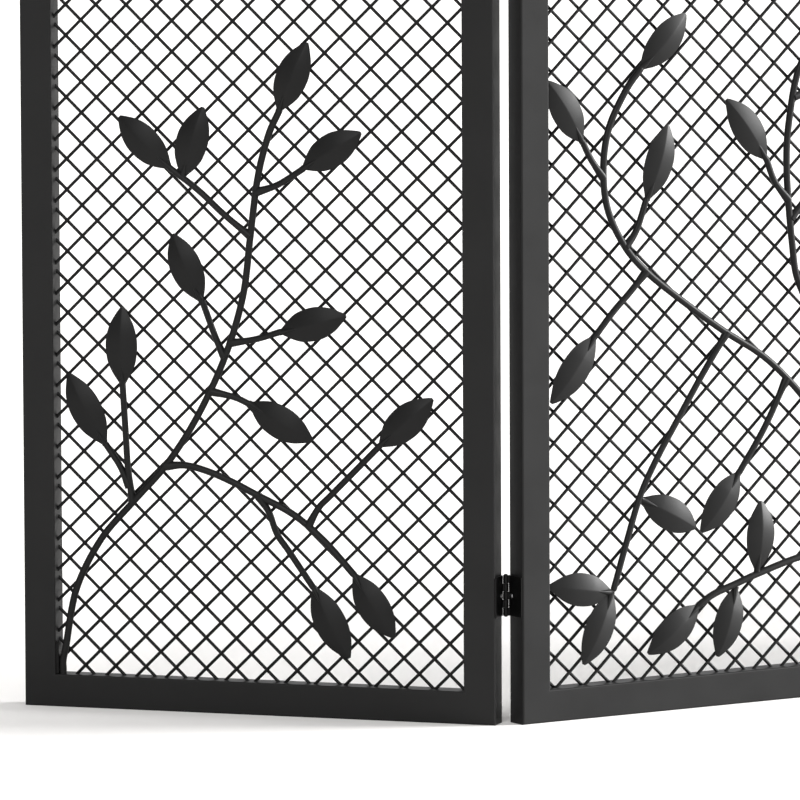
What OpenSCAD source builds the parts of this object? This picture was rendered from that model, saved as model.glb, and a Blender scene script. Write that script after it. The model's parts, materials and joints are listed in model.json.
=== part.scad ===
// Folding fireplace screen: a centre panel and two wings of rectangular tube, filled with
// diamond wire mesh and a forged vine, and joined by four butt hinges.
// +Z is up, the front faces -Y, and the origin is under the middle of the centre panel.

/* [Panels] */
// Height of every panel
panel_h = 762; // [600:1:920]
// Width of the centre panel
centre_w = 610; // [500:1:740]
// Width of each wing
wing_w = 303; // [250:1:370]
// Angle that each wing is folded back from flat
fold = 50; // [0:1:90]

/* [Frame tube] */
// Width of the tube's face
tube_face = 20; // [16:0.5:25]
// Depth of the tube, front to back
tube_depth = 15; // [13.5:0.5:18]
// Wall thickness of the tube
tube_wall = 1.2; // [1:0.1:1.8]
// Radius of the tube's rounded edges
tube_round = 1; // [0.5:0.1:1.6]

/* [Wire mesh] */
// Diameter of the mesh wire
wire_d = 2; // [1.6:0.1:2.4]
// Depth of the mesh's middle behind a panel's front face
mesh_w = 7.5; // [7:0.1:8.5]
// Width and height of one diamond in a wing
wing_diamond = [19.6, 18.9]; // [16:0.1:24]
// Width and height of one diamond in the centre panel
centre_diamond = [20.2, 18.8]; // [16:0.1:24]
// Space between the rising wires and the falling wires
wire_gap = 0.2; // [0.1:0.05:0.3]

/* [Vine] */
// Diameter of the main stems
stem_d = 4.3; // [3.6:0.1:5]
// Diameter of the twigs
twig_d = 4; // [3.3:0.1:4.3]
// Space between the vine and the wires behind it
vine_gap = 0.1; // [0.1:0.05:0.4]
// Space between a branch's shaped end and the stem that it grows from
join_gap = 0.1; // [0.05:0.05:0.3]
// Distance from a leaf's place on its twig to the start of its blade
leaf_start = 2; // [1:0.5:4]
// Width of a leaf
leaf_w = 19; // [14:0.5:23]
// Thickness of a leaf's sheet
leaf_t = 1; // [0.8:0.1:1.4]
// Angle of each half of a leaf to the panel
leaf_tilt = 14; // [5:1:15]

/* [Hinges] */
// Height of one hinge
hinge_h = 25; // [20:0.5:32]
// Distance from a panel's end to the middle of its hinge
hinge_inset = 78; // [50:1:120]
// Space between two panels that are unfolded flat
hinge_gap = 4.6; // [4.2:0.1:5.6]
// Distance of the hinge pin behind the panels' back faces
pin_back = 0.5; // [0.3:0.1:1]
// Diameter of the hinge pin
pin_d = 1.8; // [1.5:0.1:2.2]
// Thickness of a hinge leaf
plate_t = 0.8; // [0.6:0.1:1]
// Radial clearance of the knuckles that turn
run_gap = 0.05; // [0.02:0.01:0.1]
// Clearance between two knuckles, and between a knuckle and the other hinge leaf
knuckle_gap = 0.2; // [0.15:0.05:0.3]
// Diameter of a rivet's shank
rivet_d = 1.8; // [1.4:0.1:2.4]
// Height of a rivet's head
rivet_head = 0.6; // [0.4:0.1:0.8]
// Distance of a rivet's middle from the panel's back face
rivet_inset = 3.4; // [3.2:0.1:8]

/* [Hidden] */
$fn = 32;

// Depths are measured from a panel's front face.
stem_r = stem_d / 2;
twig_r = twig_d / 2;
wire_r = wire_d / 2;
rising_w = mesh_w - (wire_d + wire_gap) / 2;
falling_w = rising_w + wire_d + wire_gap;
vine_w = rising_w - wire_r - vine_gap - stem_r;
leaf_depth = leaf_w / 2 * sin(leaf_tilt) + leaf_t * cos(leaf_tilt);
leaf_ridge_w = rising_w - wire_r - vine_gap - leaf_depth;

// Hinge sizes: a knuckle is the leaf's sheet rolled round the pin
pin_r = pin_d / 2;
barrel_r = pin_r + plate_t;
knuckle_h = hinge_h / 5;
// Depths of the pin, of a plate's front edge and of a rivet
pin_w = tube_depth + pin_back;
plate_start = tube_round / 2;
rivet_w = tube_depth - rivet_inset;
rivet_r = rivet_d / 2;
// Heights of the hinges' middles
lower_hinge = hinge_inset;
upper_hinge = panel_h - hinge_inset;

// Openings inside the frames
wing_open = [wing_w - 2 * tube_face, panel_h - 2 * tube_face];
centre_open = [centre_w - 2 * tube_face, panel_h - 2 * tube_face];
// Distance along the rails from a corner to the nearest wire
corner_gap = 8;

// The vine's points are in millimetres from the opening's lower corner in a wing, and from
// the centre line and the bottom rail in the centre panel, for openings of these widths.
WING_VINE_W = 263;
CENTRE_VINE_W = 570;

W_MAIN = [[4, 0], [4, 3], [4, 9], [6, 18], [13, 53], [29, 84], [50, 108], [72, 132], [92, 162], [110, 199],
          [122, 237], [127, 274], [132, 310], [139, 336], [146, 351]];
W_SIDE = [[71, 131], [84, 132], [98, 129], [114, 123], [131, 115], [154, 104], [174, 88], [192, 69]];
W_TOP_TWIG = [[127, 274], [110, 287], [94, 301], [76, 314]];
W_FORK = [[50, 108], [47, 130], [46, 146], [44, 180]];
// Each row is a twig's parent and its points
W_TWIGS = [
    [W_MAIN, W_TOP_TWIG],
    [W_MAIN, [[131, 301], [145, 306], [161, 316]]],
    [W_MAIN, [[110, 199], [104, 212], [96, 233]]],
    [W_MAIN, [[113, 208], [130, 211], [146, 216]]],
    [W_MAIN, [[101, 178], [116, 175], [126, 171]]],
    [W_MAIN, W_FORK],
    [W_FORK, [[48, 117], [42, 130], [33, 143]]],
    [W_SIDE, [[163, 97], [170, 109], [179, 118], [209, 148]]],
    [W_SIDE, [[131, 115], [138, 105], [143, 92], [151, 81], [166, 60]]]
];
// Each row is a leaf's base and its tip
W_LEAVES = [
    [[146, 352], [164, 393]], [[75, 315], [43, 345]], [[84, 310], [97, 352]], [[162, 317], [198, 339]],
    [[95, 234], [77, 274]], [[147, 216], [188, 227]], [[127, 171], [166, 150]], [[44, 181], [44, 228]],
    [[32, 144], [9, 186]], [[210, 149], [243, 178]], [[167, 59], [189, 17]], [[193, 68], [218, 31]]
];

C_TRUNK_TOP = 400;
C_TRUNK = [[0, 0], [0, C_TRUNK_TOP]];
C_MAIN = [[0, 80], [44, 110], [81, 148], [106, 175], [128, 194], [158, 212], [189, 233], [213, 251],
          [229, 268], [241, 291], [244, 316], [240, 340], [228, 362], [217, 375]];
C_UPPER = [[0, 130], [26, 150], [56, 180], [84, 210], [101, 237], [106, 262], [110, 308], [108, 339],
           [100, 371], [81, 395]];
C_LOWER = [[0, 58], [31, 70], [66, 72], [101, 67], [132, 59], [148, 54], [164, 49], [175, 43]];
C_BRANCH = [[154, 210], [173, 184], [190, 159], [206, 135], [218, 113], [228, 85], [237, 58]];
C_TWIGS = [
    [C_MAIN, C_BRANCH],
    [C_MAIN, [[244, 310], [253, 322], [259, 333]]],
    [C_MAIN, [[228, 267], [220, 277], [213, 295]]],
    [C_MAIN, [[213, 251], [225, 239], [237, 228], [250, 214]]],
    [C_MAIN, [[110, 179], [126, 150], [145, 123]]],
    [C_UPPER, [[109, 289], [119, 301], [125, 315]]],
    [C_UPPER, [[107, 277], [95, 290], [82, 306]]],
    [C_UPPER, [[105, 352], [95, 354], [85, 354]]],
    [C_TRUNK, [[0, 225], [10, 240], [17, 262]]]
];
C_LEAVES = [
    [[216, 376], [184, 407]], [[260, 334], [284, 371]], [[212, 296], [197, 340]], [[126, 316], [154, 353]],
    [[251, 213], [282, 175]], [[216, 111], [177, 91]], [[146, 122], [173, 88]], [[132, 62], [129, 104]],
    [[240, 56], [284, 63]], [[239, 55], [259, 13]], [[176, 42], [212, 16]], [[148, 51], [161, 10]],
    [[80, 396], [55, 432]], [[81, 307], [53, 338]], [[84, 354], [41, 349]], [[17, 263], [32, 304]]
];

// One half of a leaf, as shares of its length and of half its width
HALF_LEAF = [[0, 0], [0, 0.2], [0.12, 0.55], [0.3, 0.88], [0.5, 1], [0.74, 0.8], [0.92, 0.38],
             [1, 0.1], [1, 0]];

function length2(v) = sqrt(v.x * v.x + v.y * v.y);
function unit(v) = v / length2(v);

// A smooth line through points: each piece is a cubic whose ends head along the neighbours' chord.
function spline_point(a, b, c, d, t) =
    0.5 * ((2 * b) + (c - a) * t + (2 * a - 5 * b + 4 * c - d) * t * t + (3 * b - a - 3 * c + d) * t * t * t);
function smooth(p, steps = 2) = [
    for (i = [0 : len(p) - 2], k = [0 : steps - 1])
        spline_point(p[max(i - 1, 0)], p[i], p[i + 1], p[min(i + 2, len(p) - 1)], k / steps),
    p[len(p) - 1]
];
function heading(p, i) = unit(p[min(i + 1, len(p) - 1)] - p[max(i - 1, 0)]);
// Places of vine points in a panel, across and up from its lower left corner
function in_wing(p) = [for (q = p) [tube_face + q.x * wing_open.x / WING_VINE_W, tube_face + q.y]];
function in_centre(p, side) =
    [for (q = p) [centre_w / 2 + side * q.x * centre_open.x / CENTRE_VINE_W, tube_face + q.y]];

// Frame tube -------------------------------------------------------------------------------

module rounded(w, h, r) {
    translate([r, 0]) square([w - 2 * r, h]);
    translate([0, r]) square([w, h - 2 * r]);
    for (x = [r, w - r], y = [r, h - r]) translate([x, y]) circle(r);
}

// A tube along +X from the origin, with its face in XZ and its front at Y = 0
module tube(length) {
    rotate([90, 0, 90]) linear_extrude(length) difference() {
        rounded(tube_depth, tube_face, tube_round);
        translate([tube_wall, tube_wall]) square([tube_depth - 2 * tube_wall, tube_face - 2 * tube_wall]);
    }
}

// The tube with both ends mitred at 45 degrees towards its inner side
module mitred_tube(length) {
    intersection() {
        tube(length);
        translate([0, tube_depth + 1, 0]) rotate([90, 0, 0]) linear_extrude(tube_depth + 2)
            polygon([[0, 0], [length, 0], [length - tube_face, tube_face], [tube_face, tube_face]]);
    }
}

module bottom_rail(w) { color("#2b2b2b") mitred_tube(w); }

module top_rail(w) { color("#2b2b2b") translate([0, 0, panel_h]) mirror([0, 0, 1]) mitred_tube(w); }

// A stile stands at the panel's left edge, and rivet holes go through its outer wall.
module left_stile(holes) {
    color("#2b2b2b") difference() {
        translate([0, tube_depth, 0]) rotate([0, -90, 180]) mitred_tube(panel_h);
        if (holes) for (z = [lower_hinge, upper_hinge])
            translate([-1, rivet_w, z]) rotate([0, 90, 0]) cylinder(h = tube_wall + 2, r = rivet_r);
    }
}

module right_stile(w, holes) { translate([w, 0, 0]) mirror([1, 0, 0]) left_stile(holes); }

// Wire mesh --------------------------------------------------------------------------------

// Parallel wires that rise to the right at the diamonds' slope, cut to the opening
module wires(open, diamond, depth) {
    slope = atan(diamond.y / diamond.x);
    lean = open.y * diamond.x / diamond.y;
    reach = length2([open.x + diamond.x, open.y + lean]);
    color("#222222") intersection() {
        translate([tube_face, 0, tube_face]) cube([open.x, tube_depth, open.y]);
        for (x = [-floor(lean / diamond.x) * diamond.x + corner_gap : diamond.x : open.x - corner_gap])
            translate([tube_face + x, depth, tube_face]) rotate([0, 90 - slope, 0])
                translate([0, 0, -reach / 4]) cylinder(h = reach * 1.25, r = wire_r);
    }
}

module falling_wires(w, open, diamond) {
    translate([w, 0, 0]) mirror([1, 0, 0]) wires(open, diamond, falling_w);
}

// Vine -------------------------------------------------------------------------------------

// A round rod along points of the panel's plane, as rings of eight corners joined by quads
module rod(points, r) {
    sides = 8;
    p = smooth(points);
    n = len(p);
    rings = [
        for (i = [0 : n - 1], k = [0 : sides - 1])
            let (h = heading(p, i), a = 360 * (k + 0.5) / sides)
            [p[i].x - h.y * r * cos(a), vine_w + r * sin(a), p[i].y + h.x * r * cos(a)]
    ];
    skin = [
        for (i = [0 : n - 2], k = [0 : sides - 1])
            let (a = i * sides + k, b = i * sides + (k + 1) % sides)
            [a, b, b + sides, a + sides]
    ];
    foot = [[for (k = [sides - 1 : -1 : 0]) k]];
    top = [[for (k = [0 : sides - 1]) (n - 1) * sides + k]];
    polyhedron(rings, concat(skin, foot, top));
}

// A rod whose first end is shaped to fit round its parent
module branch(points, r, parent, parent_r) {
    difference() {
        rod(points, r);
        rod(parent, parent_r + join_gap);
    }
}

// A leaf of two flat halves that meet at a ridge, which faces the front
module leaf(base, tip) {
    along = tip - base;
    size = length2(along) - leaf_start;
    start = base + leaf_start * unit(along);
    outline = [for (q = HALF_LEAF) [q.x * size, q.y * leaf_w / 2]];
    translate([start.x, leaf_ridge_w, start.y]) rotate([0, -atan2(along.y, along.x), 0])
        for (flip = [0, 1]) mirror([0, 0, flip]) rotate([-leaf_tilt, 0, 0])
            translate([0, leaf_t, 0]) rotate([90, 0, 0]) linear_extrude(leaf_t) polygon(outline);
}

module wing_main_stem() { color("#2f2f2f") rod(in_wing(W_MAIN), stem_r); }

module wing_side_stem() { color("#2f2f2f") branch(in_wing(W_SIDE), stem_r, in_wing(W_MAIN), stem_r); }

module wing_twigs() {
    color("#2f2f2f") for (t = W_TWIGS)
        branch(in_wing(t[1]), twig_r, in_wing(t[0]), t[0] == W_FORK ? twig_r : stem_r);
}

module wing_leaves() { color("#303030") for (l = W_LEAVES) let (q = in_wing(l)) leaf(q[0], q[1]); }

// A small plate between the wing's outer stile and the foot of its main stem
module wing_stem_tab() {
    tab_w = W_MAIN[0].x * wing_open.x / WING_VINE_W - stem_r - vine_gap;
    tab_h = 20;
    color("#1a1a1a") translate([tube_face, vine_w - twig_r, tube_face]) cube([tab_w, twig_d, tab_h]);
}

module trunk() {
    color("#2f2f2f") rod(in_centre(C_TRUNK, 1), stem_r);
}

module trunk_leaf() {
    foot = [centre_w / 2, tube_face + C_TRUNK_TOP];
    color("#303030") leaf(foot, foot + [0, 44]);
}

module centre_stems(side) {
    parent = in_centre(C_TRUNK, side);
    color("#2f2f2f") for (stem = [C_MAIN, C_UPPER, C_LOWER])
        branch(in_centre(stem, side), stem_r, parent, stem_r);
}

module centre_twigs(side) {
    color("#2f2f2f") for (t = C_TWIGS)
        branch(in_centre(t[1], side), twig_r, in_centre(t[0], side), stem_r);
}

module centre_leaves(side) {
    color("#303030") for (l = C_LEAVES) let (q = in_centre(l, side)) leaf(q[0], q[1]);
}

// Hinges -----------------------------------------------------------------------------------
// Hinge pieces are drawn with the pin on the Z axis at mid height, and with the panel that
// holds them at negative X, so the panel's edge face is at X = -hinge_gap / 2.

function knuckle_z(i) = -hinge_h / 2 + i * knuckle_h;

// A knuckle, and the lug at its front that joins it to the plate
module knuckle(i, bore_r) {
    h = knuckle_h - knuckle_gap;
    translate([0, 0, knuckle_z(i) + knuckle_gap / 2]) difference() {
        union() {
            cylinder(h = h, r = barrel_r);
            translate([-hinge_gap / 2, -barrel_r, 0]) cube([hinge_gap / 2, plate_t, h]);
        }
        translate([0, 0, -1]) cylinder(h = h + 2, r = bore_r);
    }
}

// A flat plate on the panel's edge face, hollowed where the other leaf's knuckles turn
module hinge_leaf(knuckles, others, bore_r) {
    front = plate_start - pin_w;
    color("#141414") union() {
        difference() {
            translate([-hinge_gap / 2, front, -hinge_h / 2]) cube([plate_t, -front, hinge_h]);
            translate([-hinge_gap, rivet_w - pin_w, 0]) rotate([0, 90, 0])
                cylinder(h = hinge_gap, r = rivet_r);
            for (i = others) translate([0, 0, knuckle_z(i) - knuckle_gap / 2])
                cylinder(h = knuckle_h + knuckle_gap, r = barrel_r + knuckle_gap);
        }
        for (i = knuckles) knuckle(i, bore_r);
    }
}

module centre_hinge_leaf() { hinge_leaf([0, 2, 4], [1, 3], pin_r); }

module wing_hinge_leaf() { hinge_leaf([1, 3], [0, 2, 4], pin_r + run_gap); }

// The pin with a low round head at each end
module hinge_pin() {
    head_r = barrel_r * 0.75;
    head_h = 0.8;
    half = hinge_h / 2 - knuckle_gap / 2;
    color("#1a1a1a") rotate_extrude()
        polygon([[0, -half - head_h], [head_r * 0.7, -half - head_h], [head_r, -half - head_h / 2],
                 [head_r, -half], [pin_r, -half], [pin_r, half], [head_r, half],
                 [head_r, half + head_h / 2], [head_r * 0.7, half + head_h], [0, half + head_h]]);
}

// A rivet through the hinge leaf and the stile's wall, with its tail spread inside the tube
module rivet() {
    head_x = -hinge_gap / 2 + plate_t;
    wall_x = -hinge_gap / 2 - tube_wall;
    tail = 1.2;
    color("#8a8a8a") translate([0, rivet_w - pin_w, 0]) rotate([0, 90, 0]) rotate_extrude()
        polygon([[0, wall_x - tail], [rivet_r * 0.9, wall_x - tail], [rivet_r * 1.4, wall_x - tail / 2],
                 [rivet_r * 1.4, wall_x], [rivet_r, wall_x], [rivet_r, head_x], [rivet_r * 1.5, head_x],
                 [rivet_r * 1.1, head_x + rivet_head], [0, head_x + rivet_head]]);
}

// Places -----------------------------------------------------------------------------------

// The centre panel stands over the origin.
module in_centre_place() { translate([-centre_w / 2, -tube_depth / 2, 0]) children(); }

// The left hinge line, and what turns with the left wing about it
module at_left_pin(z = 0) {
    translate([-centre_w / 2 - hinge_gap / 2, tube_depth / 2 + pin_back, z]) children();
}

module in_left_wing() {
    at_left_pin() rotate([0, 0, -fold])
        translate([-hinge_gap / 2 - wing_w, -tube_depth - pin_back, 0]) children();
}

module in_right_wing() { mirror([1, 0, 0]) in_left_wing() children(); }

module left_centre_side(z) { at_left_pin(z) mirror([1, 0, 0]) children(); }

module left_wing_side(z) { at_left_pin(z) rotate([0, 0, -fold]) children(); }

// Sub-parts --------------------------------------------------------------------------------

module centre_left_stile() { in_centre_place() left_stile(true); }
module centre_right_stile() { in_centre_place() right_stile(centre_w, true); }
module centre_top_rail() { in_centre_place() top_rail(centre_w); }
module centre_bottom_rail() { in_centre_place() bottom_rail(centre_w); }
module centre_rising_wires() { in_centre_place() wires(centre_open, centre_diamond, rising_w); }
module centre_falling_wires() { in_centre_place() falling_wires(centre_w, centre_open, centre_diamond); }
module centre_trunk() { in_centre_place() trunk(); }
module centre_trunk_leaf() { in_centre_place() trunk_leaf(); }
module centre_left_stems() { in_centre_place() centre_stems(-1); }
module centre_right_stems() { in_centre_place() centre_stems(1); }
module centre_left_twigs() { in_centre_place() centre_twigs(-1); }
module centre_right_twigs() { in_centre_place() centre_twigs(1); }
module centre_left_leaves() { in_centre_place() centre_leaves(-1); }
module centre_right_leaves() { in_centre_place() centre_leaves(1); }

module wing_outer_stile() { left_stile(false); }
module wing_inner_stile() { right_stile(wing_w, true); }
module wing_top_rail() { top_rail(wing_w); }
module wing_bottom_rail() { bottom_rail(wing_w); }
module wing_rising_wires() { wires(wing_open, wing_diamond, rising_w); }
module wing_falling_wires() { falling_wires(wing_w, wing_open, wing_diamond); }

module centre_hinge_rivets() {
    for (side = [0, 1], z = [lower_hinge, upper_hinge]) mirror([side, 0, 0]) left_centre_side(z) rivet();
}
module left_wing_hinge_rivets() { for (z = [lower_hinge, upper_hinge]) left_wing_side(z) rivet(); }

centre_left_stile();
centre_right_stile();
centre_top_rail();
centre_bottom_rail();
centre_rising_wires();
centre_falling_wires();
centre_trunk();
centre_left_stems();
centre_right_stems();
centre_left_twigs();
centre_right_twigs();
centre_left_leaves();
centre_right_leaves();
centre_trunk_leaf();
in_left_wing() wing_outer_stile();  // left_wing_outer_stile
in_left_wing() wing_inner_stile();  // left_wing_inner_stile
in_left_wing() wing_top_rail();  // left_wing_top_rail
in_left_wing() wing_bottom_rail();  // left_wing_bottom_rail
in_left_wing() wing_rising_wires();  // left_wing_rising_wires
in_left_wing() wing_falling_wires();  // left_wing_falling_wires
in_left_wing() wing_main_stem();  // left_wing_main_stem
in_left_wing() wing_side_stem();  // left_wing_side_stem
in_left_wing() wing_twigs();  // left_wing_twigs
in_left_wing() wing_leaves();  // left_wing_leaves
in_left_wing() wing_stem_tab();  // left_wing_stem_tab
in_right_wing() wing_outer_stile();  // right_wing_outer_stile
in_right_wing() wing_inner_stile();  // right_wing_inner_stile
in_right_wing() wing_top_rail();  // right_wing_top_rail
in_right_wing() wing_bottom_rail();  // right_wing_bottom_rail
in_right_wing() wing_rising_wires();  // right_wing_rising_wires
in_right_wing() wing_falling_wires();  // right_wing_falling_wires
in_right_wing() wing_main_stem();  // right_wing_main_stem
in_right_wing() wing_side_stem();  // right_wing_side_stem
in_right_wing() wing_twigs();  // right_wing_twigs
in_right_wing() wing_leaves();  // right_wing_leaves
in_right_wing() wing_stem_tab();  // right_wing_stem_tab
left_centre_side(upper_hinge) centre_hinge_leaf();  // upper_left_centre_hinge_leaf
left_wing_side(upper_hinge) wing_hinge_leaf();  // upper_left_wing_hinge_leaf
at_left_pin(upper_hinge) hinge_pin();  // upper_left_hinge_pin
left_centre_side(lower_hinge) centre_hinge_leaf();  // lower_left_centre_hinge_leaf
left_wing_side(lower_hinge) wing_hinge_leaf();  // lower_left_wing_hinge_leaf
at_left_pin(lower_hinge) hinge_pin();  // lower_left_hinge_pin
mirror([1, 0, 0]) left_centre_side(upper_hinge) centre_hinge_leaf();  // upper_right_centre_hinge_leaf
mirror([1, 0, 0]) left_wing_side(upper_hinge) wing_hinge_leaf();  // upper_right_wing_hinge_leaf
mirror([1, 0, 0]) at_left_pin(upper_hinge) hinge_pin();  // upper_right_hinge_pin
mirror([1, 0, 0]) left_centre_side(lower_hinge) centre_hinge_leaf();  // lower_right_centre_hinge_leaf
mirror([1, 0, 0]) left_wing_side(lower_hinge) wing_hinge_leaf();  // lower_right_wing_hinge_leaf
mirror([1, 0, 0]) at_left_pin(lower_hinge) hinge_pin();  // lower_right_hinge_pin
centre_hinge_rivets();
left_wing_hinge_rivets();
mirror([1, 0, 0]) left_wing_hinge_rivets();  // right_wing_hinge_rivets
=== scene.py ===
# %% [markdown]
# # A folding fireplace screen
# The screen has a centre panel and two wings, each a frame of rectangular steel tube. Diamond wire
# mesh fills the frames, and a forged vine of round stems and creased leaves lies on the mesh. Butt
# hinges join the panels. The CAD model fixes every size and every place, so the lesson starts by
# loading it, and each new piece is made where the CAD node that it stands for lies.

# %% Load the frame
import json
import math

import bpy
import numpy as np
from mathutils import Matrix, Vector


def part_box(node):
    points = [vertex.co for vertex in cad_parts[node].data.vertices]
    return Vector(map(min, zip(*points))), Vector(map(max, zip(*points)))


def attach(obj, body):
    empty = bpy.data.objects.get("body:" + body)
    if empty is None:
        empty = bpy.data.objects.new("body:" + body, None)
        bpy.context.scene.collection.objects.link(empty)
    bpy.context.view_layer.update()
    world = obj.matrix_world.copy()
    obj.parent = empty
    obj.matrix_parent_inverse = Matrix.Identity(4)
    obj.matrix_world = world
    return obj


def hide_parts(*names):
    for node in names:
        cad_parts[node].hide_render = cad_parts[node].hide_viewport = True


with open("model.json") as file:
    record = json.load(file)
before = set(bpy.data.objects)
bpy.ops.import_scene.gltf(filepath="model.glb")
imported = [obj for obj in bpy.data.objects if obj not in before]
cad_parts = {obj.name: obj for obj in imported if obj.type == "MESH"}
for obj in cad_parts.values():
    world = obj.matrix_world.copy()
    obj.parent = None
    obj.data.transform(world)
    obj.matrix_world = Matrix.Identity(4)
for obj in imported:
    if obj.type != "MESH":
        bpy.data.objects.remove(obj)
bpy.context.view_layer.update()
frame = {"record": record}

record = frame["record"]
MM = 0.001

# %% [markdown]
# ## Sizes from the CAD model
# The sizes of the panels and the place of the hinges are read from the CAD model's boxes and joints,
# in millimetres here, because tubes and wires are easier to think about in millimetres. What a box
# can't tell, such as a rounding radius or a rod's thickness, is a named value of its own. The leaves
# are drawn a little wider than the CAD model's flat ones.

# %% Driving sizes
stile_low, stile_high = (np.array(corner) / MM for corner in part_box("centre_left_stile"))
centre_w = -2 * stile_low[0]
tube_face, tube_depth, panel_h = stile_high - stile_low
pin = np.array(record["behaviour"]["joints"][0]["pos_m"]) / MM
hinge_gap = -2 * pin[0] - centre_w
pin_back = pin[1] - tube_depth / 2

FOLD = math.radians(50)
rail_low, rail_high = (np.array(corner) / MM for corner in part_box("left_wing_bottom_rail"))
TUBE_ROUND = 1.0
rounding = 2 * TUBE_ROUND * (math.cos(FOLD) + math.sin(FOLD) - 1)
wing_w = (rail_high[0] - rail_low[0] + rounding - tube_depth * math.sin(FOLD)) / math.cos(FOLD)

WIRE_R = 1.0
STEM_R = 2.15
TWIG_R = 2.0
LEAF_W = 20.4
MESH_DEPTH = 7.5
VINE_DEPTH = 3.15
print(f"centre {centre_w:.1f}, wing {wing_w:.1f}, height {panel_h:.1f}")
print(f"tube {tube_face:.1f} x {tube_depth:.1f}")

# %% [markdown]
# ## From a panel to the room
# A panel is drawn flat: across, up, and deep, from its lower left front corner. One function per
# panel carries such points to their place in the room. The left wing is turned about its hinge
# pin, and the right wing is the left wing mirrored, so all three panels share one way of drawing.


# %% Places of the panels
def in_centre(points):
    """Across, up and deep in the centre panel become X, Z and Y about the panel's middle."""
    across, up, deep = np.asarray(points, float).T
    return np.stack([across - centre_w / 2, deep - tube_depth / 2, up], axis=-1)


def in_left_wing(points):
    """The flat wing stands left of the pin, and turns back about it by FOLD."""
    across, up, deep = np.asarray(points, float).T
    x = across - wing_w - hinge_gap / 2
    y = deep - tube_depth - pin_back
    cos, sin = math.cos(FOLD), math.sin(FOLD)
    return np.stack([pin[0] + cos * x + sin * y, pin[1] - sin * x + cos * y, up], axis=-1)


def in_right_wing(points):
    """The left wing's place with X turned round."""
    return in_left_wing(points) * [-1, 1, 1]


WINGS = {"left_wing": in_left_wing, "right_wing": in_right_wing}
PANELS = {
    "centre": (in_centre, centre_w),
    "left_wing": (in_left_wing, wing_w),
    "right_wing": (in_right_wing, wing_w),
}

# %% [markdown]
# ## One way to make every piece
# Almost every piece here is a closed profile carried along a path: a tube, a wire, a stem, a leaf
# or a rivet. A skin is therefore an array of rings, each with the same number of points, with
# quads between neighbouring rings and one flat face on each end. The signed volume of a skin says
# if it is inside out, which a mirrored panel would make it, and then its faces are turned round.


# %% Skins, and the piece that holds them
def ring_skin(rings):
    """Rings (n, sides, 3) to points and faces: quads between rings, and one face on each end.
    When the last ring is the first one again, the skin closes on itself and needs no end faces."""
    looped = np.allclose(rings[0], rings[-1])
    if looped:
        rings = rings[:-1]
    n, sides, _ = rings.shape
    here = np.arange(sides)
    ahead = np.roll(here, -1)
    start = np.arange(n if looped else n - 1)[:, None] * sides
    after = (start + sides) % (n * sides)
    quads = np.stack([start + here, start + ahead, after + ahead, after + here], axis=-1)
    faces = quads.reshape(-1, 4).tolist()
    if not looped:
        faces.append(here[::-1].tolist())
        faces.append((here + (n - 1) * sides).tolist())
    return rings.reshape(-1, 3), faces


def signed_volume(rings):
    """The skin's volume, as tetrahedra from its middle to the triangles of its quads and ends."""
    rings = rings - rings.mean(axis=(0, 1))
    a, b = rings[:-1], rings[1:]
    a2, b2 = np.roll(a, -1, axis=1), np.roll(b, -1, axis=1)
    sides = np.einsum("ijk,ijk->", a, np.cross(a2, b2)) + np.einsum("ijk,ijk->", a, np.cross(b2, b))
    total = sides / 6
    for ring, sign in ((rings[0], -1), (rings[-1], 1)):
        middle = ring.mean(axis=0)
        total += sign * np.einsum("jk,jk->", ring, np.cross(np.roll(ring, -1, axis=0), middle)) / 6
    return total


def make_piece(name, skins, body, finish, replaced, crease=40):
    """One object from skins in the room's millimetres, riding on its body."""
    points, faces, count = [], [], 0
    for rings in skins:
        if signed_volume(rings) < 0:
            rings = rings[:, ::-1]
        skin_points, skin_faces = ring_skin(rings)
        points.append(skin_points)
        faces.extend([[i + count for i in face] for face in skin_faces])
        count += len(skin_points)
    mesh = bpy.data.meshes.new(name)
    mesh.from_pydata(np.concatenate(points) * MM, [], faces)
    mesh.shade_smooth()
    mesh.set_sharp_from_angle(angle=math.radians(crease))
    mesh.materials.append(finish)
    piece = bpy.data.objects.new(name, mesh)
    bpy.context.scene.collection.objects.link(piece)
    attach(piece, body)
    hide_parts(*replaced)
    print(f"{name}: {len(skins)} skins, {len(faces)} faces")


# %% [markdown]
# ## Black powder coat
# The steel is sprayed with powder and baked, which leaves a satin black skin with a very fine
# orange-peel relief, a little cloudiness, and no metal showing. A Principled shader with a dark
# base and middling roughness does that. Three noises in Object coordinates give the relief, the
# clouds in the colour and the clouds in the gloss, so nothing repeats from tube to tube.


# %% The coated finishes
def clouded(nodes, links, place, scale, detail, low, high):
    """A value that drifts between low and high with a noise in Object coordinates."""
    clouds = nodes.new("ShaderNodeTexNoise")
    clouds.inputs["Scale"].default_value = scale
    clouds.inputs["Detail"].default_value = detail
    links.new(place.outputs["Object"], clouds.inputs["Vector"])
    value = nodes.new("ShaderNodeMapRange")
    value.inputs["From Min"].default_value = 0.3
    value.inputs["From Max"].default_value = 0.7
    value.inputs["To Min"].default_value = low
    value.inputs["To Max"].default_value = high
    links.new(clouds.outputs["Fac"], value.inputs["Value"])
    return value.outputs["Result"]


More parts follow.
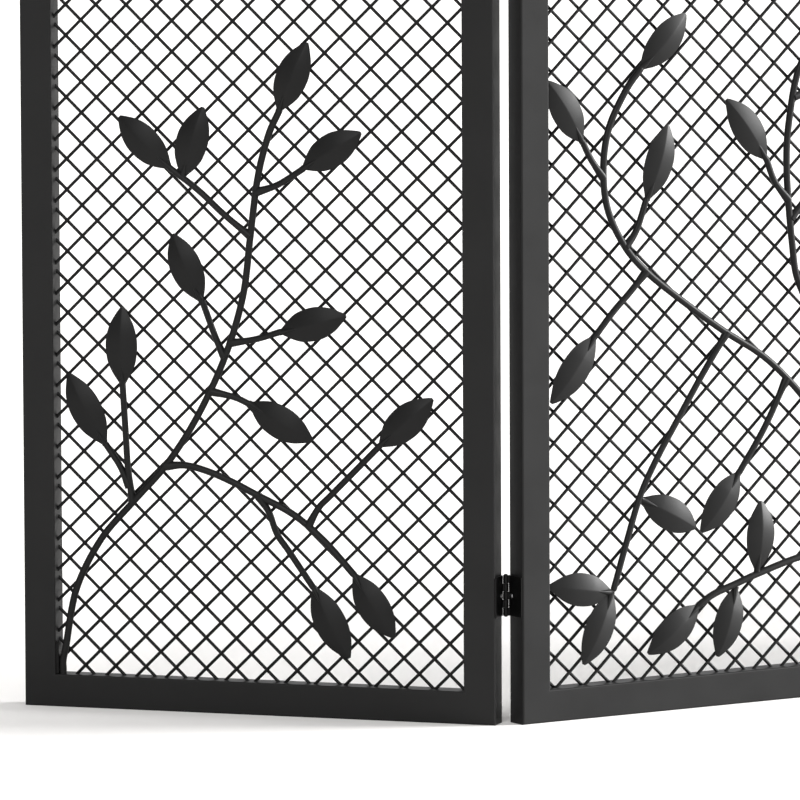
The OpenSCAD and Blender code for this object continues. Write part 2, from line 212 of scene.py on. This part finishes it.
def powder_coat(name, shade, gloss, peel_size, peel_height, specular):
    """A dielectric black coat. shade bounds the base's brightness and gloss its roughness."""
    finish = bpy.data.materials.new(name)
    finish.use_nodes = True
    nodes, links = finish.node_tree.nodes, finish.node_tree.links
    shader = nodes["Principled BSDF"]
    shader.inputs["Specular IOR Level"].default_value = specular
    place = nodes.new("ShaderNodeTexCoord")
    links.new(clouded(nodes, links, place, 22, 6, *shade), shader.inputs["Base Color"])
    links.new(clouded(nodes, links, place, 60, 4, *gloss), shader.inputs["Roughness"])

    peel = nodes.new("ShaderNodeTexNoise")
    peel.inputs["Scale"].default_value = 1 / (peel_size * MM)
    peel.inputs["Detail"].default_value = 2
    links.new(place.outputs["Object"], peel.inputs["Vector"])
    relief = nodes.new("ShaderNodeBump")
    relief.inputs["Strength"].default_value = 0.5
    relief.inputs["Distance"].default_value = peel_height * MM
    links.new(peel.outputs["Fac"], relief.inputs["Height"])
    links.new(relief.outputs["Normal"], shader.inputs["Normal"])
    return finish


frame_coat = powder_coat("frame_powder_coat", (0.008, 0.010), (0.42, 0.5), 1.1, 0.04, 0.17)
mesh_coat = powder_coat("mesh_powder_coat", (0.005, 0.007), (0.42, 0.52), 0.7, 0.03, 0.15)
vine_coat = powder_coat("vine_powder_coat", (0.007, 0.009), (0.42, 0.48), 0.9, 0.04, 0.14)
hinge_black = powder_coat("hinge_black_oxide", (0.002, 0.004), (0.3, 0.4), 0.6, 0.02, 0.15)

# %% [markdown]
# ## Bare steel
# The rivets are the only bare metal. Their heads are pressed, so they keep a soft brushed shine
# with fine scratches, which a fine-grained noise in the roughness gives.


# %% The rivets' finish
def pressed_steel(name):
    finish = bpy.data.materials.new(name)
    finish.use_nodes = True
    nodes, links = finish.node_tree.nodes, finish.node_tree.links
    shader = nodes["Principled BSDF"]
    shader.inputs["Base Color"].default_value = (0.3, 0.3, 0.3, 1)
    shader.inputs["Metallic"].default_value = 1
    place = nodes.new("ShaderNodeTexCoord")
    scratches = nodes.new("ShaderNodeTexNoise")
    scratches.inputs["Scale"].default_value = 1500
    scratches.inputs["Detail"].default_value = 3
    links.new(place.outputs["Object"], scratches.inputs["Vector"])
    roughness = nodes.new("ShaderNodeMapRange")
    roughness.inputs["To Min"].default_value = 0.2
    roughness.inputs["To Max"].default_value = 0.45
    links.new(scratches.outputs["Fac"], roughness.inputs["Value"])
    links.new(roughness.outputs["Result"], shader.inputs["Roughness"])
    return finish


rivet_steel = pressed_steel("rivet_steel")

# %% [markdown]
# ## Frame tubes
# Each panel's frame is four lengths of rectangular tube with rolled corners, mitred and welded.
# A tube is one rounded rectangle carried between two slanting ends. A narrow flat strip beside each
# rolled corner keeps the broad faces optically flat under smooth shading.


# %% Rounded rectangle and mitred tube
def rounded_rectangle(width, height, radius, steps=6, strip=0.25):
    """Points round a rectangle from (0, 0): a quarter circle at each corner, with a strip beside it."""
    quarter = np.linspace(0, math.pi / 2, steps + 1)
    arc = np.stack([np.cos(quarter), np.sin(quarter)], axis=-1) * radius
    arc = np.concatenate([[[radius, -strip]], arc, [[-strip, radius]]])
    corners = []
    for turn, centre in enumerate([(width - radius, height - radius), (radius, height - radius),
                                   (radius, radius), (width - radius, radius)]):
        cos, sin = round(math.cos(turn * math.pi / 2)), round(math.sin(turn * math.pi / 2))
        corners.append(arc @ [[cos, sin], [-sin, cos]] + centre)
    return np.concatenate(corners)


def mitred_tube(length):
    """The profile lies in face and depth, and each ring starts as far along as it is across the face."""
    profile = rounded_rectangle(tube_face, tube_depth, TUBE_ROUND)
    face, deep = profile.T
    return np.stack([np.stack([face, face, deep], axis=-1),
                     np.stack([length - face, face, deep], axis=-1)])


def frame_tubes(width):
    """The four tubes of a frame, as rings in across, up and deep."""
    rail, stile = mitred_tube(width), mitred_tube(panel_h)
    upright = stile[..., [1, 0, 2]]
    return {
        "bottom_rail": rail,
        "top_rail": rail * [1, -1, 1] + [0, panel_h, 0],
        "left_stile": upright,
        "right_stile": upright * [-1, 1, 1] + [width, 0, 0],
    }


def placed(rings, place):
    return place(rings.reshape(-1, 3)).reshape(rings.shape)


for body, (place, width) in PANELS.items():
    for tube, rings in frame_tubes(width).items():
        if body != "centre":
            tube = tube.replace("left_stile", "outer_stile").replace("right_stile", "inner_stile")
        node = f"{body}_{tube}"
        make_piece(f"{node}_tube", [placed(rings, place)], body, frame_coat, [node])

# %% [markdown]
# ## Welded wire mesh
# The mesh is two layers of straight wire, one rising and one falling, that cross at the diamonds'
# corners. A welder presses each crossing together, so the layers sink into each other by SINK. The
# diamonds sit on a lattice of half steps, across and up, which leans a little in each panel, because
# the mesh never lies quite square. Wires end a little inside the tubes' inner faces.


# %% Wires of one layer
class Lattice:
    """Crossings are at origin + i * across + j * up, wherever i + j is even."""

    def __init__(self, origin, across, up):
        self.origin, self.across, self.up = (np.array(v, float) for v in (origin, across, up))


WING_MESH = Lattice((27.2, 413.2), (9.79, 0.15), (0, 9.47))
CENTRE_MESH = Lattice((36.4, 424.6), (10.13, -0.17), (-0.04, 9.42))
WIRE_SIDES = 16
WIRE_END = 0.4
SINK = 0.1


def wire_rings(start, end, depth):
    """A straight round wire between two points of the panel, with its centre at a depth."""
    heading = (end - start) / np.linalg.norm(end - start)
    side = np.array([-heading[1], heading[0]])
    angle = np.linspace(0, 2 * math.pi, WIRE_SIDES, endpoint=False)
    rings = np.empty((2, WIRE_SIDES, 3))
    rings[..., :2] = np.array([start, end])[:, None] + WIRE_R * np.cos(angle)[:, None] * side
    rings[..., 2] = depth + WIRE_R * np.sin(angle)
    return rings


def wire_layer(lattice, width, lean, depth):
    """Every wire along up + lean * across that crosses the opening, cut where it leaves it."""
    low = np.array([tube_face, tube_face]) - WIRE_END
    high = np.array([width, panel_h]) - tube_face + WIRE_END
    step = lattice.up + lean * lattice.across
    reach = int((width + panel_h) / np.linalg.norm(lattice.across))
    wires = []
    for k in range(-reach, reach):
        start = lattice.origin + 2 * k * lattice.across
        bounds = np.sort([(low - start) / step, (high - start) / step], axis=0)
        first, last = bounds[0].max(), bounds[1].min()
        if last - first > 0.5:
            wires.append(wire_rings(start + first * step, start + last * step, depth))
    return wires


for body, (place, width) in PANELS.items():
    lattice = CENTRE_MESH if body == "centre" else WING_MESH
    for layer, lean, behind in (("rising", 1, -1), ("falling", -1, 1)):
        depth = MESH_DEPTH + behind * (WIRE_R - SINK / 2)
        wires = [placed(rings, place) for rings in wire_layer(lattice, width, lean, depth)]
        make_piece(f"{body}_{layer}_mesh", wires, body, mesh_coat, [f"{body}_{layer}_wires"])

# %% [markdown]
# ## Stems and twigs
# The vine's stems are round rod, bent to shape and welded where a twig leaves its parent. A rod is
# a circle carried along a smooth line through a few chosen points. A twig starts inside its parent
# and is a little thicker there, as a weld is, and every free end is rounded by rings that shrink as
# a quarter circle does. The main stem and the trunk start a millimetre inside the bottom rail.

# %% The vine's points, across and up from the opening's lower corner
WING_MAIN = [[4, -1], [4, 3], [4, 9], [6, 18], [13, 53], [29, 84], [50, 108], [72, 132], [92, 162],
             [110, 199], [122, 237], [127, 274], [132, 310], [139, 336], [146, 351]]
WING_SIDE = [[71, 131], [84, 132], [98, 129], [114, 123], [131, 115], [154, 104], [174, 88], [192, 69]]
WING_TWIGS = [
    [[127, 274], [110, 287], [94, 301], [76, 314]],
    [[131, 301], [145, 306], [161, 316]],
    [[110, 199], [104, 212], [96, 233]],
    [[113, 208], [130, 211], [146, 216]],
    [[101, 178], [116, 175], [126, 171]],
    [[50, 108], [47, 130], [46, 146], [44, 180]],
    [[48, 117], [42, 130], [33, 143]],
    [[163, 97], [170, 109], [179, 118], [209, 148]],
    [[131, 115], [138, 105], [143, 92], [151, 81], [166, 60]],
]
WING_LEAVES = [
    [[146, 352], [164, 393]], [[75, 315], [43, 345]], [[84, 310], [97, 352]], [[162, 317], [198, 339]],
    [[95, 234], [77, 274]], [[147, 216], [188, 227]], [[127, 171], [166, 150]], [[44, 181], [44, 228]],
    [[32, 144], [9, 186]], [[210, 149], [243, 178]], [[167, 59], [189, 17]], [[193, 68], [218, 31]],
]

# %% [markdown]
# The centre panel's vine grows from a trunk in the middle, and its two halves mirror each other, so
# its points are measured sideways from the centre line.

# %% The centre vine's points, from the centre line and up from the bottom rail
TRUNK_H = 400
CENTRE_STEMS = [
    [[0, 80], [44, 110], [81, 148], [106, 175], [128, 194], [158, 212], [189, 233], [213, 251],
     [229, 268], [241, 291], [244, 316], [240, 340], [228, 362], [217, 375]],
    [[0, 130], [26, 150], [56, 180], [84, 210], [101, 237], [106, 262], [110, 308], [108, 339],
     [100, 371], [81, 395]],
    [[0, 58], [31, 70], [66, 72], [101, 67], [132, 59], [148, 54], [164, 49], [175, 43]],
]
CENTRE_TWIGS = [
    [[154, 210], [173, 184], [190, 159], [206, 135], [218, 113], [228, 85], [237, 58]],
    [[244, 310], [253, 322], [259, 333]],
    [[228, 267], [220, 277], [213, 295]],
    [[213, 251], [225, 239], [237, 228], [250, 214]],
    [[110, 179], [126, 150], [145, 123]],
    [[109, 289], [119, 301], [125, 315]],
    [[107, 277], [95, 290], [82, 306]],
    [[105, 352], [95, 354], [85, 354]],
    [[0, 225], [10, 240], [17, 262]],
]
CENTRE_LEAVES = [
    [[216, 376], [184, 407]], [[260, 334], [284, 371]], [[212, 296], [197, 340]], [[126, 316], [154, 353]],
    [[251, 213], [282, 175]], [[216, 111], [177, 91]], [[146, 122], [173, 88]], [[132, 62], [129, 104]],
    [[240, 56], [284, 63]], [[239, 55], [259, 13]], [[176, 42], [212, 16]], [[148, 51], [161, 10]],
    [[80, 396], [55, 432]], [[81, 307], [53, 338]], [[84, 354], [41, 349]], [[17, 263], [32, 304]],
]


def wing_points(points):
    return np.array(points, float) + tube_face


def centre_points(points, side):
    points = np.array(points, float)
    return np.stack([centre_w / 2 + side * points[:, 0], tube_face + points[:, 1]], axis=-1)


# %% [markdown]
# The smooth line is a Catmull-Rom spline: between two points it is a cubic whose ends head along the
# line between each point's neighbours, so it passes through every chosen point without a kink.


# %% Smooth lines and round rods
WELD = 0.35
WELD_LENGTH = 7.0
ROD_SIDES = 16


def smooth(points, spacing=2.0):
    """A Catmull-Rom spline through points, with a step of about spacing."""
    points = np.asarray(points, float)
    ends = np.concatenate([[2 * points[0] - points[1]], points, [2 * points[-1] - points[-2]]])
    line = []
    for a, b, c, d in zip(ends, ends[1:], ends[2:], ends[3:]):
        steps = max(2, round(np.linalg.norm(c - b) / spacing))
        t = np.arange(steps)[:, None] / steps
        square, cube = 2 * a - 5 * b + 4 * c - d, 3 * b - a - 3 * c + d
        line.append(0.5 * (2 * b + (c - a) * t + square * t**2 + cube * t**3))
    return np.concatenate(line + [points[-1:]])


def rod_rings(line, radius, depth):
    """Circles of the given radii about a line of the panel's plane, at the given depths."""
    heading = np.gradient(line, axis=0)
    heading /= np.linalg.norm(heading, axis=1, keepdims=True)
    side = np.stack([-heading[:, 1], heading[:, 0]], axis=-1)
    angle = np.linspace(0, 2 * math.pi, ROD_SIDES, endpoint=False)
    radius = np.broadcast_to(radius, len(line))[:, None]
    rings = np.empty((len(line), ROD_SIDES, 3))
    rings[..., :2] = line[:, None] + (radius * np.cos(angle))[..., None] * side[:, None]
    rings[..., 2] = np.broadcast_to(depth, len(line))[:, None] + radius * np.sin(angle)
    return rings


def stem(points, radius, weld=0.0):
    """A rod with a rounded far end, thicker by weld at its start, fading as a bell by WELD_LENGTH."""
    line = smooth(points)
    length = np.concatenate([[0], np.cumsum(np.linalg.norm(np.diff(line, axis=0), axis=1))])
    radii = radius * (1 + weld * np.exp(-((length / WELD_LENGTH) ** 2)))
    heading = (line[-1] - line[-2]) / np.linalg.norm(line[-1] - line[-2])
    dome = np.radians([30, 55, 75, 88])[:, None]
    line = np.concatenate([line, line[-1] + radius * np.sin(dome) * heading])
    radii = np.concatenate([radii, radius * np.cos(dome[:, 0])])
    return rod_rings(line, radii, VINE_DEPTH)


for body, place in WINGS.items():
    make_piece(f"{body}_main_rod", [placed(stem(wing_points(WING_MAIN), STEM_R), place)],
               body, vine_coat, [f"{body}_main_stem"])
    make_piece(f"{body}_side_rod", [placed(stem(wing_points(WING_SIDE), STEM_R, WELD), place)],
               body, vine_coat, [f"{body}_side_stem"])
    twigs = [placed(stem(wing_points(twig), TWIG_R, WELD), place) for twig in WING_TWIGS]
    make_piece(f"{body}_twig_rods", twigs, body, vine_coat, [f"{body}_twigs"])

trunk = [[centre_w / 2, tube_face - 1], [centre_w / 2, tube_face + TRUNK_H]]
make_piece("centre_trunk_rod", [placed(stem(trunk, STEM_R), in_centre)],
           "centre", vine_coat, ["centre_trunk"])
for name, side in (("left", -1), ("right", 1)):
    stems = [placed(stem(centre_points(points, side), STEM_R, WELD), in_centre) for points in CENTRE_STEMS]
    make_piece(f"centre_{name}_rods", stems, "centre", vine_coat, [f"centre_{name}_stems"])
    twigs = [placed(stem(centre_points(points, side), TWIG_R, WELD), in_centre) for points in CENTRE_TWIGS]
    make_piece(f"centre_{name}_twig_rods", twigs, "centre", vine_coat, [f"centre_{name}_twigs"])

# %% [markdown]
# ## Leaves
# A leaf is pressed from sheet: narrow where it meets its twig, widest near the middle, with a blunt
# tip, and creased along a sharp midrib from which both halves fall away. The midrib arches forward
# between the base and the tip. A leaf's skin is a closed cross-section carried along it. The
# section's front falls from the midrib to the edge partly in a straight line and partly as a
# square, and its thickness fades to a round edge.

# %% Leaf skins
HALF_WIDTH = [[0, 0.2], [0.05, 0.34], [0.14, 0.6], [0.28, 0.88], [0.46, 1], [0.62, 0.96], [0.78, 0.74],
              [0.91, 0.4], [0.98, 0.18], [1, 0.1]]
LEAF_T = 1.0
LEAF_FALL = 2.3
LEAF_ARCH = 3.0
RIDGE_DEPTH = 2.05
BASE_DEPTH = VINE_DEPTH - 0.4
TIP_SAG = 0.9
TAPER_LENGTH = 10


def arch(share):
    """How far forward the midrib stands, a share of the way from base to tip."""
    return LEAF_ARCH * np.sin(math.pi * np.clip(share, 0, 1)) ** 0.9


def leaf_sections(length, sections=36, half=13):
    """Rings in along, across and deep for a leaf of the given length."""
    share, width = smooth(HALF_WIDTH, spacing=0.02).T
    s = np.linspace(0, 1, sections)
    half_w = np.interp(s, share, width) * LEAF_W / 2
    t = np.sin(np.linspace(-1, 1, 2 * half + 1) * math.pi / 2)
    t = np.sign(t) * np.abs(t) ** 1.25
    across = np.concatenate([t, t[-2:0:-1]])
    back = np.concatenate([np.zeros(len(t)), np.ones(len(t) - 2)])
    rise = np.clip(s / 0.3, 0, 1) ** 0.7
    sag = np.clip((s - 0.6) / 0.4, 0, 1) ** 2
    ridge = BASE_DEPTH - (BASE_DEPTH - RIDGE_DEPTH) * rise + TIP_SAG * sag
    fall = LEAF_FALL * (half_w / half_w.max()) ** 1.1
    drop = 0.6 * np.abs(across) + 0.4 * across**2
    thick = LEAF_T * np.sqrt(np.clip(1 - np.abs(across) ** 6, 0, 1)) * back
    rings = np.empty((sections, len(across), 3))
    rings[..., 0] = (s * length)[:, None]
    rings[..., 1] = half_w[:, None] * across
    rings[..., 2] = (ridge - arch(s))[:, None] + fall[:, None] * drop + thick
    return rings


def leaf(base, tip):
    """The leaf's skin and the twig's tapering end, which runs on under the midrib."""
    base, tip = np.array(base, float), np.array(tip, float)
    length = np.linalg.norm(tip - base)
    heading = (tip - base) / length
    side = np.array([-heading[1], heading[0]])
    rings = leaf_sections(length)
    flat = base + rings[..., :1] * heading + rings[..., 1:2] * side
    blade = np.concatenate([flat, rings[..., 2:]], axis=-1)
    run = np.linspace(-1.5, TAPER_LENGTH, 10)
    radius = TWIG_R * np.interp(run, [-1.5, 0.5, TAPER_LENGTH], [1, 0.95, 0.25])
    depth = np.interp(run, [0, TAPER_LENGTH], [VINE_DEPTH, RIDGE_DEPTH + 0.6]) - arch(run / length)
    return [blade, rod_rings(base + run[:, None] * heading, radius, depth)]


def leaf_piece(name, leaves, place, body, node):
    """One object of leaves that share a panel."""
    skins = [placed(rings, place) for base, tip in leaves for rings in leaf(base, tip)]
    make_piece(name, skins, body, vine_coat, [node], crease=60)


for body, place in WINGS.items():
    leaves = [wing_points(pair) for pair in WING_LEAVES]
    leaf_piece(f"{body}_leaf_blades", leaves, place, body, f"{body}_leaves")
for name, side in (("left", -1), ("right", 1)):
    leaf_piece(f"centre_{name}_leaf_blades", [centre_points(pair, side) for pair in CENTRE_LEAVES],
               in_centre, "centre", f"centre_{name}_leaves")
top = [[0, TRUNK_H], [0, TRUNK_H + 44]]
leaf_piece("centre_trunk_leaf_blade", [centre_points(top, 1)], in_centre, "centre", "centre_trunk_leaf")

# %% [markdown]
# ## Hinges
# Each butt hinge has two leaves of thin sheet. A leaf's plate lies on a panel's edge face, and three
# or two strips of the same sheet are rolled round the pin as its knuckles. A hinge is drawn about
# its pin, with its panel at negative X, then turned with its wing or mirrored for the centre panel.

# %% Places about a hinge pin
PIN_R = 0.9
PLATE_T = 0.8
KNUCKLE_GAP = 0.2
RUN_GAP = 0.05
RIVET_INSET = 3.4
barrel_r = PIN_R + PLATE_T
hinge_low, hinge_high = (np.array(corner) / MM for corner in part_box("lower_left_centre_hinge_leaf"))
hinge_h = hinge_high[2] - hinge_low[2]
lower_hinge = (hinge_low[2] + hinge_high[2]) / 2
HINGE_HEIGHTS = {"lower": lower_hinge, "upper": panel_h - lower_hinge}


def about_pin(rings, height, holder, side):
    """Rings about the pin to the room, for the leaf that the centre or the wing holds."""
    x, y, z = np.moveaxis(rings, -1, 0)
    cos, sin = (-1, 0) if holder == "centre" else (math.cos(FOLD), math.sin(FOLD))
    across = pin[0] + cos * x + sin * y
    deep = pin[1] - sin * x + abs(cos) * y
    return np.stack([across * (1 if side == "left" else -1), deep, z + height], axis=-1)


# %% [markdown]
# Turned pieces are outlines of radius and height spun about an axis. A bevelled plate is its outline
# stacked four times, drawn in a little at both faces. A knuckle is a strip whose narrow section runs
# from the plate up to the pin and then round it.


# %% Turned pieces, plates and knuckles
def spun(outline, sides=32):
    """Rings about Z from rows of radius and height."""
    angle = np.linspace(0, 2 * math.pi, sides, endpoint=False)
    radius, height = np.array(outline, float).T
    rings = np.empty((len(outline), sides, 3))
    rings[..., 0] = radius[:, None] * np.cos(angle)
    rings[..., 1] = radius[:, None] * np.sin(angle)
    rings[..., 2] = height[:, None]
    return rings


def plate(low, high, corner=0.8, bevel=0.12):
    """A sheet whose faces look along X, between two corners, with round corners and bevelled edges."""
    low, high = np.array(low, float), np.array(high, float)
    wide, tall = (high - low)[1:]
    rings = []
    for x, inset in ((low[0], bevel), (low[0] + bevel, 0), (high[0] - bevel, 0), (high[0], bevel)):
        flat = rounded_rectangle(wide - 2 * inset, tall - 2 * inset, corner - inset, steps=4, strip=0.05)
        flat = flat + low[1:] + inset
        rings.append(np.concatenate([np.full((len(flat), 1), x), flat], axis=-1))
    return np.array(rings)


def knuckle(low, high, bevel=0.1):
    """A strip rolled round the pin between two heights: a bevelled section along a flat path."""
    middle = PIN_R + RUN_GAP + PLATE_T / 2
    plate_x = -hinge_gap / 2 + PLATE_T / 2
    lead = [[plate_x, -barrel_r - 2], [plate_x, -barrel_r - 0.9], [-1.2, -middle - 0.15], [0, -middle]]
    turn = np.radians(np.arange(-80, 201, 10))
    roll = np.stack([np.cos(turn), np.sin(turn)], axis=-1) * middle
    path = np.concatenate([smooth(lead, spacing=0.25), roll])
    heading = np.gradient(path, axis=0)
    heading /= np.linalg.norm(heading, axis=1, keepdims=True)
    side = np.stack([heading[:, 1], -heading[:, 0]], axis=-1)
    half = PLATE_T / 2 - RUN_GAP / 2
    out = np.array([-half, half - bevel, half, half, half - bevel, -half])
    up = np.array([low, low, low + bevel, high - bevel, high, high])
    rings = np.empty((len(path), len(out), 3))
    rings[..., :2] = path[:, None] + out[:, None] * side[:, None]
    rings[..., 2] = up
    return rings


def domed(radius, start, height):
    """Rows of radius and height for a low dome that starts at a height and rises from it."""
    bend = np.radians([0, 20, 40, 60, 75, 86])
    return [[radius * math.cos(a), start + height * math.sin(a)] for a in bend]


# %% [markdown]
# The centre's leaf has the first, third and fifth knuckles and the wing's leaf has the other two.
# Past its full thickness a plate goes on as a thin strip, almost level with the pin. The pin is
# peened to a low dome at each end, and a domed rivet goes through each plate into its stile.

# %% Hinge leaves, pins, rivets, and black tabs painted as shade beside the stems
KNUCKLES = {"centre": (0, 2, 4), "wing": (1, 3)}
PIN_HEAD = 0.8
RIVET_R = 0.9
RIVET_TAIL_R = 1.2
RIVET_HEAD_R = 1.35
RIVET_HEAD_H = 0.6
STRIP_T = 0.35
STRIP_END = -0.2
knuckle_h = hinge_h / 5
edge_x = -hinge_gap / 2
front = -(tube_depth + pin_back - TUBE_ROUND / 2)
for side in ("left", "right"):
    for level, height in HINGE_HEIGHTS.items():
        for holder, places in KNUCKLES.items():
            skins = [plate((edge_x, front, -hinge_h / 2), (edge_x + PLATE_T, -1.1, hinge_h / 2)),
                     plate((edge_x, -2, -hinge_h / 2), (edge_x + STRIP_T, STRIP_END, hinge_h / 2))]
            for i in places:
                low = -hinge_h / 2 + i * knuckle_h + KNUCKLE_GAP / 2
                skins.append(knuckle(low, low + knuckle_h - KNUCKLE_GAP))
            skins = [about_pin(rings, height, holder, side) for rings in skins]
            body = "centre" if holder == "centre" else f"{side}_wing"
            node = f"{level}_{side}_{holder}_hinge_leaf"
            make_piece(f"{node}_sheet", skins, body, hinge_black, [node])
        half = hinge_h / 2 - KNUCKLE_GAP / 2
        head_r = barrel_r * 0.75
        dome = domed(head_r, half, PIN_HEAD)
        outline = [[r, -z] for r, z in dome[::-1]] + [[PIN_R, -half], [PIN_R, half]] + dome
        pin_skin = about_pin(spun(outline), height, "centre", side)
        node = f"{level}_{side}_hinge_pin"
        make_piece(f"{node}_turned", [pin_skin], "centre", hinge_black, [node])


def rivet_skin(height, holder, side):
    """A rivet along X: a flat tail inside the tube, a shank, and a domed head on the plate."""
    face = edge_x + PLATE_T
    tail = [[0.2, edge_x - 2.3], [RIVET_TAIL_R, edge_x - 2], [RIVET_TAIL_R, edge_x - 1.25]]
    shank = [[RIVET_R, edge_x - 1.2], [RIVET_R, face]]
    turned = spun(tail + shank + domed(RIVET_HEAD_R, face, RIVET_HEAD_H), sides=24)
    rings = np.stack([turned[..., 2], turned[..., 0] - pin_back - RIVET_INSET, turned[..., 1]], axis=-1)
    return about_pin(rings, height, holder, side)


heights = HINGE_HEIGHTS.values()
for body, holder, sides in (("centre", "centre", ("left", "right")), ("left_wing", "wing", ("left",)),
                            ("right_wing", "wing", ("right",))):
    rivets = [rivet_skin(height, holder, side) for side in sides for height in heights]
    make_piece(f"{body}_rivets", rivets, body, rivet_steel, [f"{body}_hinge_rivets"])

# A thin black tab fills the narrow gap between each main stem's foot and its stile's inner face. It is
# painted shade: a sheet in the hinges' black finish, put where that gap lies in shade.
TAB_H = 20
for body, place in WINGS.items():
    tab = plate((0, 0, 0), (WING_MAIN[0][0] - STEM_R - 0.1, 2 * TWIG_R, TAB_H), corner=0.5)
    tab = tab[..., [0, 2, 1]] + [tube_face, tube_face, VINE_DEPTH - TWIG_R]
    make_piece(f"{body}_gap_shade_tab", [placed(tab, place)], body, hinge_black, [f"{body}_stem_tab"])

# %% [markdown]
# ## Light, floor and camera
# A long lens looks slightly down at the joint between the left wing and the centre panel. A large
# soft key light stands low on the right, a weak one stands on the left, and a third hangs overhead.
# The sky is bright only behind the screen, as in a studio with a white backdrop.

# %% Camera
camera = bpy.data.objects.new("camera", bpy.data.cameras.new("camera"))
bpy.context.scene.collection.objects.link(camera)
bpy.context.scene.camera = camera
CAMERA_AT = Vector((-3.9418, -5.6859, 1.0245))
HEADING, DOWN, ROLL = (math.radians(angle) for angle in (32.01, 6.978, -0.253))
look = Vector((math.sin(HEADING) * math.cos(DOWN), math.cos(HEADING) * math.cos(DOWN), -math.sin(DOWN)))
level = Vector((math.cos(HEADING), -math.sin(HEADING), 0))
right = level * math.cos(ROLL) + level.cross(look) * math.sin(ROLL)
turn = Matrix((right, right.cross(look), -look)).transposed()
camera.matrix_world = Matrix.Translation(CAMERA_AT) @ turn.to_4x4()
camera.data.lens = 505.3
camera.data.clip_start = 0.1
camera.data.clip_end = 200

# %% Floor
floor_mesh = bpy.data.meshes.new("floor")
FLOOR_HALF = 60
corners = [(x * FLOOR_HALF, y * FLOOR_HALF, 0) for x, y in ((-1, -1), (1, -1), (1, 1), (-1, 1))]
floor_mesh.from_pydata(corners, [], [(0, 1, 2, 3)])
floor = bpy.data.objects.new("floor", floor_mesh)
bpy.context.scene.collection.objects.link(floor)
pale = bpy.data.materials.new("pale_floor")
pale.use_nodes = True
pale.node_tree.nodes["Principled BSDF"].inputs["Base Color"].default_value = (0.9, 0.885, 0.87, 1)
pale.node_tree.nodes["Principled BSDF"].inputs["Roughness"].default_value = 0.9
pale.node_tree.nodes["Principled BSDF"].inputs["Specular IOR Level"].default_value = 0.1
floor_mesh.materials.append(pale)

# %% Sky
SKY_DIM, SKY_BRIGHT = 0.3, 1.15
world = bpy.data.worlds.new("soft_sky")
bpy.context.scene.world = world
world.use_nodes = True
nodes, links = world.node_tree.nodes, world.node_tree.links
towards = nodes.new("ShaderNodeTexCoord")
behind = nodes.new("ShaderNodeVectorMath")
behind.operation = "DOT_PRODUCT"
behind.inputs[1].default_value = (0.53, 0.85, 0)
links.new(towards.outputs["Generated"], behind.inputs[0])
fade = nodes.new("ShaderNodeMapRange")
fade.inputs["From Min"].default_value = 0.82
fade.inputs["From Max"].default_value = 0.97
fade.inputs["To Min"].default_value = SKY_DIM
fade.inputs["To Max"].default_value = SKY_BRIGHT
links.new(behind.outputs["Value"], fade.inputs["Value"])
links.new(fade.outputs["Result"], nodes["Background"].inputs["Strength"])
nodes["Background"].inputs["Color"].default_value = (1, 1, 1, 1)


# %% Lights
def direction(azimuth, elevation):
    """A unit vector away from the screen, with azimuth seen from the front and turning to the right."""
    a, e = math.radians(azimuth), math.radians(elevation)
    return Vector((math.sin(a) * math.cos(e), -math.cos(a) * math.cos(e), math.sin(e)))


def soft_sun(name, azimuth, elevation, softness, strength):
    """A sun with its direction and the width of its disc in degrees."""
    data = bpy.data.lights.new(name, "SUN")
    data.angle = math.radians(softness)
    data.energy = strength
    light = bpy.data.objects.new(name, data)
    bpy.context.scene.collection.objects.link(light)
    light.rotation_euler = direction(azimuth, elevation).to_track_quat("Z", "Y").to_euler()


soft_sun("key_light", 66, 16, 24, 9.6)
soft_sun("left_light", -48, 27, 24, 1.5)
soft_sun("top_light", 0, 80, 60, 1.0)
bpy.context.scene.view_settings.view_transform = "Standard"
